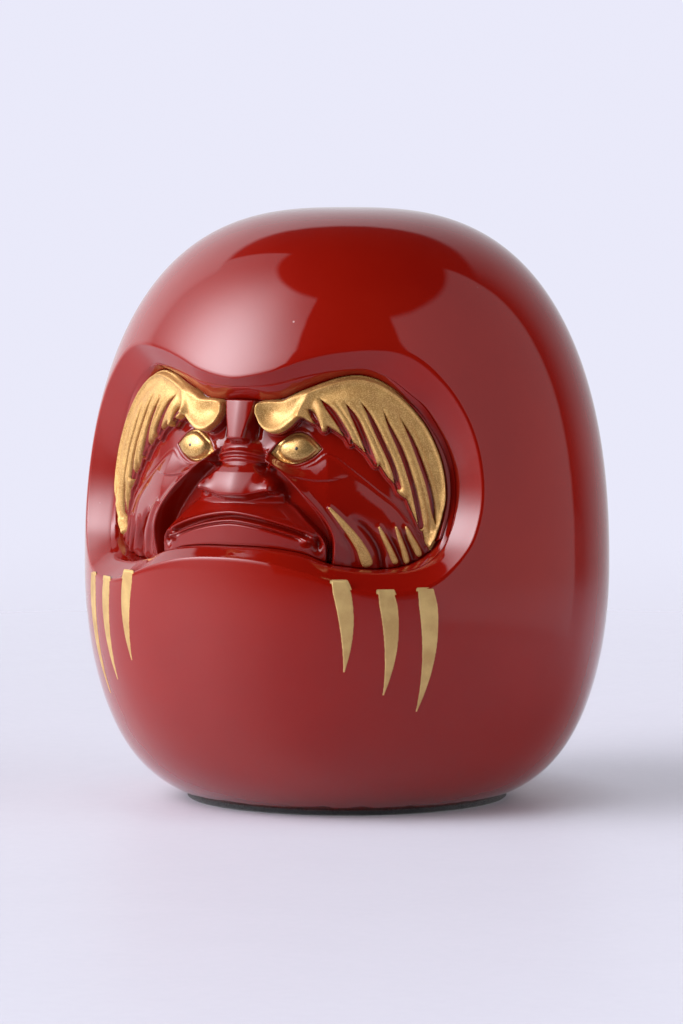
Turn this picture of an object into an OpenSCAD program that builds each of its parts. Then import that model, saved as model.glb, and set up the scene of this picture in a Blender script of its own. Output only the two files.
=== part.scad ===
// Daruma doll: a hollow lacquered shell with a sunken face, gilded brows, eyes
// and beard, a weight in its base and a felt pad to stand on.
// Millimetres. +Z is up, the face looks along -Y, and the origin is the middle of the
// felt's underside. Left and right are as seen by someone facing the doll: left is -X.

/* [Body] */
// Overall height, from the table to the crown
doll_h = 110; // [92:1:132]
// Width across the widest part
doll_w = 98; // [82:1:118]
// Height of the widest part above the table
widest_z = 43; // [36:1:52]
// Width of the round flat that the doll stands on
foot_w = 60; // [50:1:66]
// Thickness of the moulded shell
wall = 4; // [3:0.5:5]

/* [Face opening] */
// Height of the middle of the face above the table
face_z = 63; // [56:1:68]
// Angle from the middle of the face to the side of the opening
opening_half_angle = 58.5; // [48:0.5:64]
// Height of the opening's two arches above the middle of the face
opening_top = 22.6; // [18:0.2:24]
// Depth of the opening's two lower lobes below the middle of the face
opening_bottom = 20.6; // [17:0.2:24]
// Angle that the bevelled rim takes at each side
bevel_angle = 3; // [1.5:0.5:5]
// Height that the bevelled rim takes at the top and the bottom
bevel_h = 4; // [2:0.5:5]
// Depth of the bevelled rim's inner edge below the body's surface
bevel_depth = 4.2; // [3:0.2:5]
// Depth of the pocket that holds the face, below the body's surface
pocket_depth = 11.5; // [10.5:0.5:14]

/* [Face relief] */
// Depth of the plain part of the face below the body's surface
face_depth = 7.2; // [6.5:0.1:8.5]
// Forward height of the nose over the plain part
nose_out = 4; // [2:0.2:5]
// Forward height of the block between the brows
bridge_out = 3.6; // [2:0.2:5]
// Forward height of the mound around the mouth
muzzle_out = 4.2; // [2:0.2:5]
// Forward height of the cheeks
cheek_out = 2.2; // [1:0.2:3]
// Forward height of the band under each brow
brow_band_out = 2.6; // [1:0.2:3.5]

/* [Gilding] */
// Thickness of the gilded brows at their edges
brow_edge = 0.35; // [0.2:0.05:0.8]
// Extra thickness of the gilded brows along their middle
brow_crown = 0.9; // [0.3:0.1:1.5]
// Thickness of the gilded eyes at their middle
eye_crown = 2; // [1:0.1:2.5]
// Thickness of the gilded cheek strands
strand_t = 0.5; // [0.3:0.05:1]
// Thickness of the painted beard strokes
stroke_t = 0.12; // [0.08:0.02:0.3]
// Width of the widest beard stroke
stroke_w = 2.8; // [1.6:0.2:3.6]

/* [Base] */
// Thickness of the felt pad
felt_t = 1; // [0.6:0.2:2]
// Radius of the hole in the bottom of the shell
base_hole_r = 22; // [18:0.5:23]
// Width of the ledge that the base plate seats on
ledge_w = 3; // [2:0.5:3.5]
// Thickness of the base plate
plate_t = 2.4; // [1.5:0.1:3]
// Thickness of the ledge above the base plate
ledge_t = 2.6; // [2:0.2:4]
// Height of the weight above the base plate
weight_h = 9; // [5:0.5:14]

/* [Fits] */
// Gap between pieces that are glued together
glue_gap = 0.1; // [0.05:0.05:0.2]
// Gap between the face and the gilding on it
gild_gap = 0.2; // [0.1:0.05:0.4]

/* [Hidden] */

red = [0.60, 0.10, 0.09];
gold = [0.78, 0.62, 0.34];

// The body is two superellipse quarters of revolution that meet at the widest part.
crown_z_power = 2.3;
crown_r_power = 2.8;
belly_z_power = 1.95;
belly_r_power = 4.8;
half_w = doll_w / 2;
crown_reach = doll_h - widest_z;
// How far down the belly's curve would close if the flat foot did not cut it off
foot_share = pow(1 - pow(foot_w / doll_w, belly_r_power), 1 / belly_z_power);
belly_reach = (widest_z - felt_t) / foot_share;

face_rings = 24;
floor_rings = 8;
outside = 8;
flare_out = 1.5;
backing_angle = bevel_angle + 4;
backing_h = wall + 1;

// Half of the opening's outline, from the middle of the top round the right side to the
// middle of the bottom: [share of the half angle, share of the height above or below]
opening_shape = [[0, 0.77], [0.24, 0.845], [0.46, 0.965], [0.65, 1], [0.82, 0.915], [0.94, 0.62],
    [1, 0.13], [0.99, -0.29], [0.915, -0.68], [0.77, -0.955], [0.65, -1], [0.43, -0.89],
    [0.19, -0.75], [0, -0.71]];

// Brow outlines: [angle from the middle of the face, height above the middle of the face]
brow_top = [[4.5, 12], [6.5, 13.6], [13, 12], [20, 15], [30, 17.5], [40, 16], [46.4, 13], [50.5, 8.5],
    [53, 2.5], [53, -4], [51, -8.6], [48.6, -11.2]];
brow_low = [[5, 9.6], [9, 8], [14, 10.2], [19, 9.4], [25, 7.6], [30, 5.6], [35.5, 2.3], [39.5, -1.6],
    [43, -4.4], [45, -7], [46.6, -9.2], [48.2, -11.5]];
eye_top = [[9.6, 4.2], [12, 6.2], [15.5, 6.8], [19, 6], [22, 4.4]];
eye_low = [[9.8, 3.9], [12.5, 2.8], [15.5, 2.5], [18.8, 2.9], [21.8, 4.1]];
// Cheek strands, top to bottom: the outer and the inner edge of each
strand_outer = [
    [[24.6, -5.6], [28.5, -8.8], [31.5, -12], [34, -15.4]],
    [[36.6, -9.4], [38.6, -12], [40.6, -15.4]],
    [[41.6, -9.4], [42.8, -11.6], [43.8, -14.2]],
    [[43.8, -8.6], [44.8, -10.6], [46, -12.8]]];
strand_inner = [
    [[24, -5.9], [27, -9.6], [29, -12.6], [31.6, -15.5]],
    [[36, -9.6], [37.4, -12.2], [39.2, -15.6]],
    [[41, -9.6], [41.6, -11.8], [42.6, -14.4]],
    [[43.4, -8.8], [43.8, -10.8], [45, -13.1]]];
// Beard strokes: angle of the top, angle of the tip, height of the top below the middle
// of the face, and length
strokes = [[26.5, 27.4, 18.6, 16], [36, 36, 20.3, 18.6], [44.7, 43.6, 20, 22]];
stroke_rings = 10;

// Radius of the body at a height
function crown_r(z) = half_w * pow(1 - pow((z - widest_z) / crown_reach, crown_z_power), 1 / crown_r_power);
function belly_r(z) = half_w * pow(1 - pow((widest_z - z) / belly_reach, belly_z_power), 1 / belly_r_power);
function body_r(z) = z >= widest_z ? crown_r(z) : belly_r(z);

// Outline of the body, or of the cavity when it is shrunk inwards, from the crown down
function half_outline(shrink, low_z) = let (
        r = half_w - shrink,
        up = crown_reach - shrink,
        down = belly_reach - shrink,
        last = asin(pow((widest_z - low_z) / down, belly_z_power / 2)))
    concat(
        [for (t = [90:-6:0]) [r * pow(cos(t), 2 / crown_r_power),
            widest_z + up * pow(sin(t), 2 / crown_z_power)]],
        [for (k = [1:12]) let (t = last * k / 12) [r * pow(cos(t), 2 / belly_r_power),
            widest_z - down * pow(sin(t), 2 / belly_z_power)]]);

module solid_of_revolution(shrink, low_z) {
    rotate_extrude($fn = 120)
        polygon(concat(half_outline(shrink, low_z), [[0, low_z]]));
}

// A point at an angle from the middle of the face, at a height and a depth below the surface
function at(angle, z, depth) = let (r = body_r(z) - depth) [r * sin(angle), -r * cos(angle), z];

// Smooth curve through points, closed or open
function spline(a, b, c, d, t) = (2 * b + (c - a) * t + (2 * a - 5 * b + 4 * c - d) * t * t
    + (3 * b - a - 3 * c + d) * t * t * t) / 2;
function closed_curve(p, steps) = let (n = len(p))
    [for (i = [0:n - 1], k = [0:steps - 1])
        spline(p[(i + n - 1) % n], p[i], p[(i + 1) % n], p[(i + 2) % n], k / steps)];
function open_curve(p, steps) = let (n = len(p) - 1)
    concat([for (i = [0:n - 1], k = [0:steps - 1])
        spline(p[max(i - 1, 0)], p[i], p[i + 1], p[min(i + 2, n)], k / steps)], [p[n]]);

// The opening's outline as [angle, height] pairs, with its half angle and heights given
function opening(half_angle, top, bottom) = let (
        half = [for (p = opening_shape) [p[0] * half_angle, p[1] * (p[1] > 0 ? top : bottom)]],
        n = len(half))
    closed_curve(concat(half, [for (i = [n - 2:-1:1]) [-half[i][0], half[i][1]]]), 2);
rim = opening(opening_half_angle, opening_top, opening_bottom);
inner_rim = opening(opening_half_angle - bevel_angle, opening_top - bevel_h, opening_bottom - bevel_h);
// The bevel carried on outwards, so that it cuts the body's surface cleanly at the rim
flare = rim + (rim - inner_rim) * flare_out / bevel_depth;
backing = opening(opening_half_angle - bevel_angle + backing_angle, opening_top - bevel_h + backing_h,
    opening_bottom - bevel_h + backing_h);

// One ring of points, at a share of the way out from the middle of the face
function ring(outline, share, depth) =
    [for (p = outline) at(p[0] * share, face_z + p[1] * share, depth)];

// A closed solid through rings of equal length, from a middle point in front to one behind
module stack_of_rings(first, rings, last) {
    n = len(rings[0]);
    count = len(rings);
    points = concat([first], [for (r = rings, p = r) p], [last]);
    end = len(points) - 1;
    start_cap = [for (i = [0:n - 1]) [0, 1 + i, 1 + (i + 1) % n]];
    sides = [for (k = [0:count - 2], i = [0:n - 1]) let (
            a = 1 + k * n + i,
            b = 1 + k * n + (i + 1) % n)
        each [[a, a + n, b + n], [a, b + n, b]]];
    end_cap = [for (i = [0:n - 1]) [end, end - n + (i + 1) % n, end - n + i]];
    polyhedron(points, concat(start_cap, sides, end_cap));
}

// The space that the bevelled rim and the pocket behind it take out of the body
module opening_cutter() {
    stack_of_rings(
        at(0, face_z, -outside),
        concat(
            [for (k = [1:3]) ring(flare, k / 3, -outside)],
            [ring(flare, 1, -flare_out), ring(inner_rim, 1, bevel_depth)],
            [for (k = [floor_rings:-1:1]) ring(inner_rim, k / floor_rings, pocket_depth)]),
        at(0, face_z, pocket_depth));
}

// The part of the shell that closes the pocket off from the cavity
module pocket_backing() {
    stack_of_rings(
        at(0, face_z, wall / 2),
        concat(
            [for (k = [1:floor_rings]) ring(backing, k / floor_rings, wall / 2)],
            [for (k = [floor_rings:-1:1]) ring(backing, k / floor_rings, pocket_depth + wall)]),
        at(0, face_z, pocket_depth + wall));
}

// One rounded rise of the face, mirrored to both sides: middle, half size and height
function rise(angle, h, mid_angle, mid_h, size_angle, size_h, out) =
    out * exp(-pow((abs(angle) - mid_angle) / size_angle, 2) - pow((h - mid_h) / size_h, 2));

// How far the face stands forward of its plain part, at an angle and a height
function relief(angle, h) =
    rise(angle, h, 0, -1.5, 7, 3.6, nose_out)
    + rise(angle, h, 10, -3, 5, 2.2, nose_out * 0.45)
    + rise(angle, h, 0, 9, 6, 5.5, bridge_out)
    + rise(angle, h, 0, -8.5, 15, 4.5, muzzle_out)
    + rise(angle, h, 14, -12, 8, 3.5, muzzle_out * 0.35)
    - rise(angle, h, 0, -8.2, 13, 0.9, 1.4)
    - rise(angle, h, 16, -10.8, 6, 1.1, 1.3)
    - rise(angle, h, 0, 3.2, 12, 1.2, 0.9)
    + rise(angle, h, 27, -4.5, 9, 5, cheek_out)
    + rise(angle, h, 38, -11, 9, 5, cheek_out * 0.8)
    - rise(angle, h, 24, -11, 3, 4.5, 1.2)
    + rise(angle, h, 28, 12, 17, 5.5, brow_band_out)
    + rise(angle, h, 48, 1, 7, 11, brow_band_out)
    - rise(angle, h, 16, 3, 9, 3, 1.2);
function face_surface(angle, h) = face_depth - relief(angle, h);

// A raised patch between two edges of [angle, height] points, lying on the face or the body
module patch(upper, lower, edge_t, crown_t, on_face) {
    across = 4;
    n = len(upper);
    m = across + 1;
    points = [for (i = [0:n - 1], side = [0, 1], j = [0:across]) let (
            t = j / across,
            p = lower[i] * (1 - t) + upper[i] * t,
            out = side * (edge_t + crown_t * 4 * t * (1 - t)),
            under = on_face ? face_surface(p[0], p[1]) - gild_gap : -glue_gap / 2)
        at(p[0], face_z + p[1], under - out)];
    function back(i, j) = i * 2 * m + j;
    function front(i, j) = back(i, j) + m;
    sheets = [for (i = [0:n - 2], j = [0:across - 1])
        each [[front(i, j), front(i, j + 1), front(i + 1, j + 1)],
            [front(i, j), front(i + 1, j + 1), front(i + 1, j)],
            [back(i, j), back(i + 1, j + 1), back(i, j + 1)],
            [back(i, j), back(i + 1, j), back(i + 1, j + 1)]]];
    edges = [for (i = [0:n - 2])
        each [[back(i, 0), front(i, 0), front(i + 1, 0)],
            [back(i, 0), front(i + 1, 0), back(i + 1, 0)],
            [back(i, across), front(i + 1, across), front(i, across)],
            [back(i, across), back(i + 1, across), front(i + 1, across)]]];
    ends = [for (j = [0:across - 1])
        each [[back(0, j), back(0, j + 1), front(0, j + 1)],
            [back(0, j), front(0, j + 1), front(0, j)],
            [back(n - 1, j), front(n - 1, j + 1), back(n - 1, j + 1)],
            [back(n - 1, j), front(n - 1, j), front(n - 1, j + 1)]]];
    polyhedron(points, concat(sheets, edges, ends));
}

// Puts a piece that is drawn on the right on the right side or, mirrored, on the left one
module on_side(side) {
    if (side == "right") children();
    else mirror([1, 0, 0]) children();
}

module body_shell() {
    color(red)
        difference() {
            solid_of_revolution(0, felt_t);
            difference() {
                solid_of_revolution(wall, felt_t + plate_t + ledge_t);
                pocket_backing();
            }
            opening_cutter();
            cylinder(h = felt_t + plate_t + ledge_t + wall, r = base_hole_r, $fn = 96);
            cylinder(h = felt_t + plate_t, r = base_hole_r + ledge_w, $fn = 96);
        }
}

module face_insert() {
    half_h = opening_bottom * -opening_shape[len(opening_shape) - 1][1] - bevel_h;
    fit = 1 - glue_gap / half_h;
    color(red)
        stack_of_rings(
            at(0, face_z, face_surface(0, 0)),
            concat(
                [for (k = [1:face_rings]) let (share = fit * k / face_rings)
                    [for (p = inner_rim) at(p[0] * share, face_z + p[1] * share,
                        face_surface(p[0] * share, p[1] * share))]],
                [for (k = [floor_rings:-1:1])
                    ring(inner_rim, fit * k / floor_rings, pocket_depth - glue_gap)]),
            at(0, face_z, pocket_depth - glue_gap));
}

module brow(side) {
    color(gold)
        on_side(side)
            patch(open_curve(brow_top, 2), open_curve(brow_low, 2), brow_edge, brow_crown, true);
}

module eye(side) {
    color(gold)
        on_side(side)
            patch(open_curve(eye_top, 2), open_curve(eye_low, 2), brow_edge, eye_crown, true);
}

module cheek_strand(i) {
    color(gold)
        on_side("right")
            patch(open_curve(strand_outer[i - 1], 2), open_curve(strand_inner[i - 1], 2),
                strand_t, strand_t / 2, true);
}

// A beard stroke starts square under the rim and curves to a point
module beard_stroke(side, i) {
    s = strokes[i - 1];
    degrees_per_mm = 360 / (PI * doll_w);
    path = [for (k = [0:stroke_rings]) let (t = k / stroke_rings)
        [s[0] + (s[1] - s[0]) * t * t + 1.6 * t * (1 - t), -s[2] - s[3] * t]];
    half = [for (k = [0:stroke_rings]) let (t = k / stroke_rings)
        degrees_per_mm * stroke_w / 2 * max(1 - t * t, 0.06) * min(1, 0.75 + 2 * t)];
    color(gold)
        on_side(side)
            patch([for (k = [0:stroke_rings]) path[k] + [half[k], 0]],
                [for (k = [0:stroke_rings]) path[k] - [half[k], 0]],
                stroke_t / 2, stroke_t / 2, false);
}

module ballast_weight() {
    r = base_hole_r - glue_gap * 2;
    chamfer = 1.5;
    z0 = felt_t + plate_t;
    color("gray")
        rotate_extrude($fn = 96)
            polygon([[0, z0], [r, z0], [r, z0 + weight_h - chamfer],
                [r - chamfer, z0 + weight_h], [0, z0 + weight_h]]);
}

module base_plate() {
    color([0.35, 0.25, 0.16])
        translate([0, 0, felt_t])
            cylinder(h = plate_t, r = base_hole_r + ledge_w - glue_gap, $fn = 96);
}

module base_felt() {
    color([0.06, 0.06, 0.06])
        cylinder(h = felt_t, r = foot_w / 2 - glue_gap, $fn = 120);
}

body_shell();
face_insert();
brow("left");  // brow_left
brow("right");  // brow_right
eye("left");  // eye_left
eye("right");  // eye_right
for (i = [1:4])
    cheek_strand(i);
for (side = ["left", "right"], i = [1:3])
    beard_stroke(side, i);
ballast_weight();
base_plate();
base_felt();
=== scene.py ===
"""Looks of the daruma doll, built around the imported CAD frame.

Lengths in the shape functions are millimetres, as in the CAD; meshes are made in metres.
Places on the face are (x, y): x is the distance round the face from its middle, measured
at the radius ARC_R, and y is the height above the middle of the face, FACE_Z.
"""

import math

import bmesh
import bpy
import numpy as np
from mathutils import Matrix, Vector


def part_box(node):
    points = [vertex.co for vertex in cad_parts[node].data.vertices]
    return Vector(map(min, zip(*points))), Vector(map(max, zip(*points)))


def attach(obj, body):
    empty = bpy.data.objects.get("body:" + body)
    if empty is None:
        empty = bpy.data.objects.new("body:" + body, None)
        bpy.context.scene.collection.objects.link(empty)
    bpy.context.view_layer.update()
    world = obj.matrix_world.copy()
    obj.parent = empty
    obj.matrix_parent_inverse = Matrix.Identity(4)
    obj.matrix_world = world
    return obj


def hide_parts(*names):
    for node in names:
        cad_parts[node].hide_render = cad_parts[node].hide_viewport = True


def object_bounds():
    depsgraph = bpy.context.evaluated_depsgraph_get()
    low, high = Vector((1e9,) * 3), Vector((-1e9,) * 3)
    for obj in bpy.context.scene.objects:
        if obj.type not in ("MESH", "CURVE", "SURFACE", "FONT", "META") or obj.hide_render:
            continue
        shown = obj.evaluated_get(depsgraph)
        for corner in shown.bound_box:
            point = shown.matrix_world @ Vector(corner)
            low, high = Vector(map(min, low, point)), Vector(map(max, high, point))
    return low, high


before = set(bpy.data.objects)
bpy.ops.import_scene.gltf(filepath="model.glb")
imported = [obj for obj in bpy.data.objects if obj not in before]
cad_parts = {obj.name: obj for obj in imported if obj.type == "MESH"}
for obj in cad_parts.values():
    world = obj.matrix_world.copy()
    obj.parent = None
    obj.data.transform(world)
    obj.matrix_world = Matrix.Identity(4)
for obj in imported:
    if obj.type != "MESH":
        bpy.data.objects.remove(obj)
cad_low, cad_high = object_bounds()

MM = 0.001

# ---------------------------------------------------------------- body form
DOLL_H = cad_high.z / MM
HALF_W = round(cad_high.x / MM, 3)
WIDEST_Z = 43.0
FOOT_R = 30.0
FELT_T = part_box("base_felt")[1].z / MM
PLATE_T = 2.4
LEDGE_T = 2.6
BASE_HOLE_R = 22.0
LEDGE_R = BASE_HOLE_R + 3.0
CROWN_POWERS = (2.3, 2.8)
BELLY_POWERS = (1.95, 4.8)
FOOT_SHARE = (1 - (FOOT_R / HALF_W) ** BELLY_POWERS[1]) ** (1 / BELLY_POWERS[0])
CROWN_REACH = DOLL_H - WIDEST_Z
BELLY_REACH = (WIDEST_Z - FELT_T) / FOOT_SHARE

FACE_Z = 63.0
ARC_R = 42.0
MM_PER_DEGREE = ARC_R * math.pi / 180
POCKET_DEPTH = 11.4
WALL = 4.0

# Half of the opening's rim: (degrees from the middle of the face, height above FACE_Z)
RIM = [
    (0, 17.3), (5, 17.8), (10.8, 18.9), (16.7, 20.5), (23, 21.7), (29, 22.3), (35, 22.5), (41, 22.0),
    (46, 20.2), (50.2, 17.2), (53.4, 14), (56.2, 9.6), (57.8, 4.9), (58.4, 0.3), (58.3, -3.5),
    (57.5, -7.3), (55.5, -11.8), (52.7, -14.8), (49.7, -17.2), (45.8, -19.3), (39, -20.6),
    (33, -20.4), (28.6, -19.7), (18.2, -16.9), (9.5, -15.2), (0, -14.7),
]
# The bevel's inner edge, with its depth as a third number
INNER = [
    (0, 15.6, 2.0), (5, 15.8, 2.0), (10.2, 16.3, 2.2), (16.3, 17.5, 2.5), (22.5, 18.4, 2.8),
    (29, 18.85, 3.1), (33.5, 18.8, 3.3), (37.1, 17.95, 3.6), (40.6, 16.5, 3.9), (44, 14.45, 4.2),
    (47.8, 12.1, 4.5), (50.6, 8.95, 4.7), (53, 5.35, 4.9), (54.6, 1.2, 5.0), (54.9, -2.3, 5.0),
    (54.3, -6.1, 4.9), (53, -9.6, 4.6), (50.8, -12.9, 4.2), (47.4, -15.3, 3.9), (42.5, -16.9, 3.6),
    (35, -17.3, 3.4), (28.7, -16.9, 3.2), (23, -15.9, 3.0), (17.2, -14.3, 2.8), (9, -13.2, 2.6),
    (0, -12.95, 2.5),
]
# The foot of the wall inside the bevel, which the face insert sits in
WALL_FOOT = [
    (0, 13.3), (5, 13.2), (9.7, 13.35), (12.8, 14.05), (16.2, 15.1), (22.4, 16.8), (29, 17.85),
    (33, 17.75), (36.6, 16.9), (39.8, 15.5), (43.1, 13.6), (46.6, 11.3), (49.3, 8.3),
    (51.9, 4.8), (53.4, 0.9), (53.7, -2.5), (53.1, -6.1), (51.9, -9.6), (49.9, -13.0),
    (46.4, -15.0), (41.5, -16.5), (35, -16.95), (28.7, -16.5), (23, -15.7), (17.2, -13.95),
    (8.5, -13.0), (0, -12.85),
]


def body_r(z):
    """Radius of the body at each height, 0 above the crown and below the belly's end."""
    z = np.asarray(z, float)
    up = np.clip((z - WIDEST_Z) / CROWN_REACH, 0, 1)
    down = np.clip((WIDEST_Z - z) / BELLY_REACH, 0, 1)
    crown = (1 - up ** CROWN_POWERS[0]) ** (1 / CROWN_POWERS[1])
    belly = (1 - down ** BELLY_POWERS[0]) ** (1 / BELLY_POWERS[1])
    return HALF_W * np.where(z >= WIDEST_Z, crown, belly)


def at(degrees, z, depth):
    """Points at an angle from the middle of the face, a height, and a depth under the surface."""
    a = np.radians(degrees)
    r = body_r(z) - depth
    return np.stack([r * np.sin(a), -r * np.cos(a), z + 0 * r], -1)


def smooth(t):
    """An eased rise from 0 at 0 to 1 at 1."""
    t = np.clip(t, 0, 1)
    return t * t * (3 - 2 * t)


def step(value, edge, width):
    """0 below the edge, 1 above it, and a smooth rise that is width wide in between."""
    return smooth((value - edge) / width + 0.5)


def blend(a, b, share):
    """a where the share is 0, b where it is 1, and a mixture in between."""
    return a * (1 - share) + b * share


def curve(points, steps, closed=False):
    """A smooth curve through the points."""
    p = np.array(points, float)
    n = len(p)
    out = []
    for i in range(n if closed else n - 1):
        a, b, c, d = (
            (p[(i - 1) % n], p[i], p[(i + 1) % n], p[(i + 2) % n])
            if closed
            else (p[max(i - 1, 0)], p[i], p[i + 1], p[min(i + 2, n - 1)])
        )
        for k in range(steps):
            t = k / steps
            out.append(
                (2 * b + (c - a) * t + (2 * a - 5 * b + 4 * c - d) * t**2
                 + (3 * b - a - 3 * c + d) * t**3) / 2
            )
    if not closed:
        out.append(p[-1])
    return np.array(out)


def line_distance(x, y, line):
    """Distance to a line of points, how far along it the nearest place is (0 to 1), and the
    side of it that the point lies on: 1 to the left of the line's direction, else -1."""
    best = np.full(x.shape, 1e9)
    along = np.zeros(x.shape)
    side = np.ones(x.shape)
    lengths = np.hypot(*(line[1:] - line[:-1]).T)
    total, done = lengths.sum(), 0.0
    for a, b, length in zip(line[:-1], line[1:], lengths):
        ex, ey = (b - a) / max(length, 1e-9)
        px, py = x - a[0], y - a[1]
        t = np.clip(px * ex + py * ey, 0, length)
        dx, dy = px - t * ex, py - t * ey
        d = np.hypot(dx, dy)
        nearer = d < best
        best = np.where(nearer, d, best)
        along = np.where(nearer, (done + t) / total, along)
        side = np.where(nearer, np.where(ex * py - ey * px >= 0, 1.0, -1.0), side)
        done += length
    return best, along, side


def inside_distance(x, y, outline):
    """Distance to a closed outline, positive inside it."""
    closed = np.vstack([outline, outline[:1]])
    d, _, _ = line_distance(x, y, closed)
    inside = np.zeros(x.shape, bool)
    for (ax, ay), (bx, by) in zip(closed[:-1], closed[1:]):
        crosses = (ay > y) != (by > y)
        inside ^= crosses & (x < (bx - ax) * (y - ay) / (by - ay + 1e-12) + ax)
    return np.where(inside, d, -d)


def hump(d, width):
    """1 at no distance, and a round fall to 0."""
    return np.exp(-((d / width) ** 2))


def ellipse(x, y, cx, cy, wx, wy):
    """A round bump, 1 at its centre (cx, cy), with a half width each way."""
    return np.exp(-(((x - cx) / wx) ** 2) - ((y - cy) / wy) ** 2)


def opening_line(half, count):
    """A closed outline, mirrored and evenly spaced, with the same columns as the half."""
    full = [list(p) for p in half] + [[-p[0], *p[1:]] for p in half[-2:0:-1]]
    dense = curve(full, 40, closed=True)
    scaled = dense[:, :2] * np.array([MM_PER_DEGREE, 1.0])
    gaps = np.hypot(*(np.roll(scaled, -1, 0) - scaled).T)
    s = np.concatenate([[0], np.cumsum(gaps)])
    wanted = np.linspace(0, s[-1], count, endpoint=False)
    closed = np.vstack([dense, dense[:1]])
    line = np.stack([np.interp(wanted, s, closed[:, k]) for k in range(closed.shape[1])], -1)
    for _ in range(6):  # takes out the small steps in curvature between the points
        line = (np.roll(line, 1, 0) + 2 * line + np.roll(line, -1, 0)) / 4
    return line


WALL_OUTLINE = opening_line(WALL_FOOT, 240) * [MM_PER_DEGREE, 1]


# ---------------------------------------------------------------- face form
# Lines of the right half, in face millimetres. The left half is its mirror image.
BROW_TOP = [
    (3.5, 11), (3.7, 12.5), (5.5, 13.0), (8.4, 13.1), (10.3, 14.0), (12.8, 15.0), (16.4, 16.3),
    (19.2, 17.1), (22.6, 17.5), (25.8, 16.9), (28.4, 15.6), (31, 13.7), (33.4, 11.2), (35.6, 8.1),
    (37.4, 3.8), (38.2, 0.2), (38.4, -3.6), (37.8, -7.4), (36.7, -11.2), (35.6, -13.3),
]
BROW_LOW = [
    (35.0, -12.2), (34.5, -9.9), (34.0, -9.8), (33.2, -8.0), (31.6, -4.3), (30.9, -3.8),
    (30.0, -3.0), (29.3, -1.4), (28.2, -0.2), (26.5, 2.2), (25.8, 1.8), (25.0, 2.9), (24.0, 4.3),
    (21.5, 6.3), (21.1, 5.6), (20.1, 7.1), (17.0, 8.9), (16.3, 8.0), (15.2, 9.2), (14.0, 9.6),
    (12.6, 10.4), (11.6, 10.4), (10, 8.9), (8, 7.7), (6.2, 7.8), (4.5, 9.2),
]
# Deep slots that part the brow into strands: their middle lines and their widths
SLOTS = [
    ([(13.3, 11.8), (14.3, 10.7), (15.0, 9.4), (15.4, 8.2)], 1.20),
    ([(15.5, 13.6), (18.0, 10.9), (20.4, 7.2), (21.0, 5.6)], 1.40),
    ([(20.2, 12.9), (22.3, 9.4), (24.3, 4.6), (25.4, 1.8)], 1.45),
    ([(22.9, 13.2), (24.4, 10.9), (26.8, 5.8), (28.7, 1.5), (29.7, -2.2)], 1.20),
    ([(27.0, 11.8), (28.2, 8.6), (30.5, 3.5), (32.5, -3.2), (33.9, -9.4)], 1.20),
    ([(30.2, 10.3), (31.9, 7.0), (33.5, 2.9), (35.1, -2.2), (36.2, -7.6), (36.6, -10.6)], 1.20),
]
# Under the eye, then down between the brow and the cheek
CREASE = [
    (5.6, 3.9), (8.2, 1.9), (11.4, 1.25), (14.4, 2.3), (16.4, 3.7), (17.7, 3.5), (20.5, 1.7),
    (26.4, -3), (30.3, -6.4), (34.6, -12.8), (35.6, -15.5),
]
# From the nose past the corner of the mouth
FOLD = [
    (3.8, 3.7), (6.8, 2.1), (10.3, -0.6), (13.6, -4.0), (16.7, -7.7), (18.3, -11.3), (18.2, -15.6),
    (17.9, -18),
]
# Under the lower lid
LID_FOLD = [(4.2, 3.6), (8, 1.2), (11, -0.2), (15, -0.9), (19, -0.7), (21.2, -0.2)]
# Upper edge of the mound round the mouth
MUZZLE = [(8.6, -4.6), (10.6, -5.4), (13.8, -8.4), (16.2, -10.8), (17.1, -13.2), (16.8, -17)]
EYE_CENTRE = (11.5, 4.6)
EYE_UPPER = [(5.9, 3.7), (7.8, 5.8), (10.8, 7.4), (13.4, 6.8), (15.8, 4.6)]
EYE_LOWER = [(15.8, 4.6), (13.9, 3.0), (11.1, 1.85), (8.2, 2.2), (5.9, 3.7)]
EYE_SEAT = 1.75  # forward height of the eye's edge
EYE_FRONT = 3.3  # forward height of the eye's middle
# Gilded strands on the cheek: outlines, clockwise from the upper end
STRANDS = [
    [(17.5, -5.7), (19.9, -8.1), (22.3, -10.9), (24.1, -13.6), (24.9, -15.8), (23.4, -16.2),
     (22.3, -13.3), (20.6, -10.4), (18.5, -7.3)],
    [(26.2, -9.3), (27.7, -11.8), (29.1, -14.6), (29.5, -15.6), (28.8, -15.7), (27.8, -13.4),
     (26.7, -11.0)],
    [(29.2, -9.3), (30.3, -11.7), (31.3, -14.4), (31.5, -15.5), (30.9, -15.6), (30.2, -13.2),
     (29.5, -10.9)],
    [(31.1, -9.3), (32.4, -11.4), (33.6, -13.5), (33.8, -14.4), (33.1, -14.4), (32.1, -12.5),
     (31.4, -10.9)],
]
# Folds and scallops of the lower cheek: middle line, depth, half width
CHEEK_GROOVES = [
    ([(20.6, -7.0), (24.0, -10.0), (26.2, -13.4), (26.9, -17)], 1.0, 0.75),
    ([(26.9, -9.6), (28.8, -12.4), (30.3, -15.4), (30.6, -17.5)], 0.5, 0.5),
    ([(29.8, -9.6), (31.3, -12.4), (32.4, -15.4), (32.6, -17)], 0.5, 0.5),
    ([(19.2, -9.6), (20.9, -12.6), (21.4, -16.5)], 0.3, 0.9),
]
# Half width of the nose's part of the face, by height
NOSE_EDGE_Y = [-5.8, -3.6, -1.6, 1.0, 3.4, 5.8, 12.8]
NOSE_EDGE_X = [9.4, 9.6, 8.4, 5.6, 5.8, 3.8, 4.4]
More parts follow.
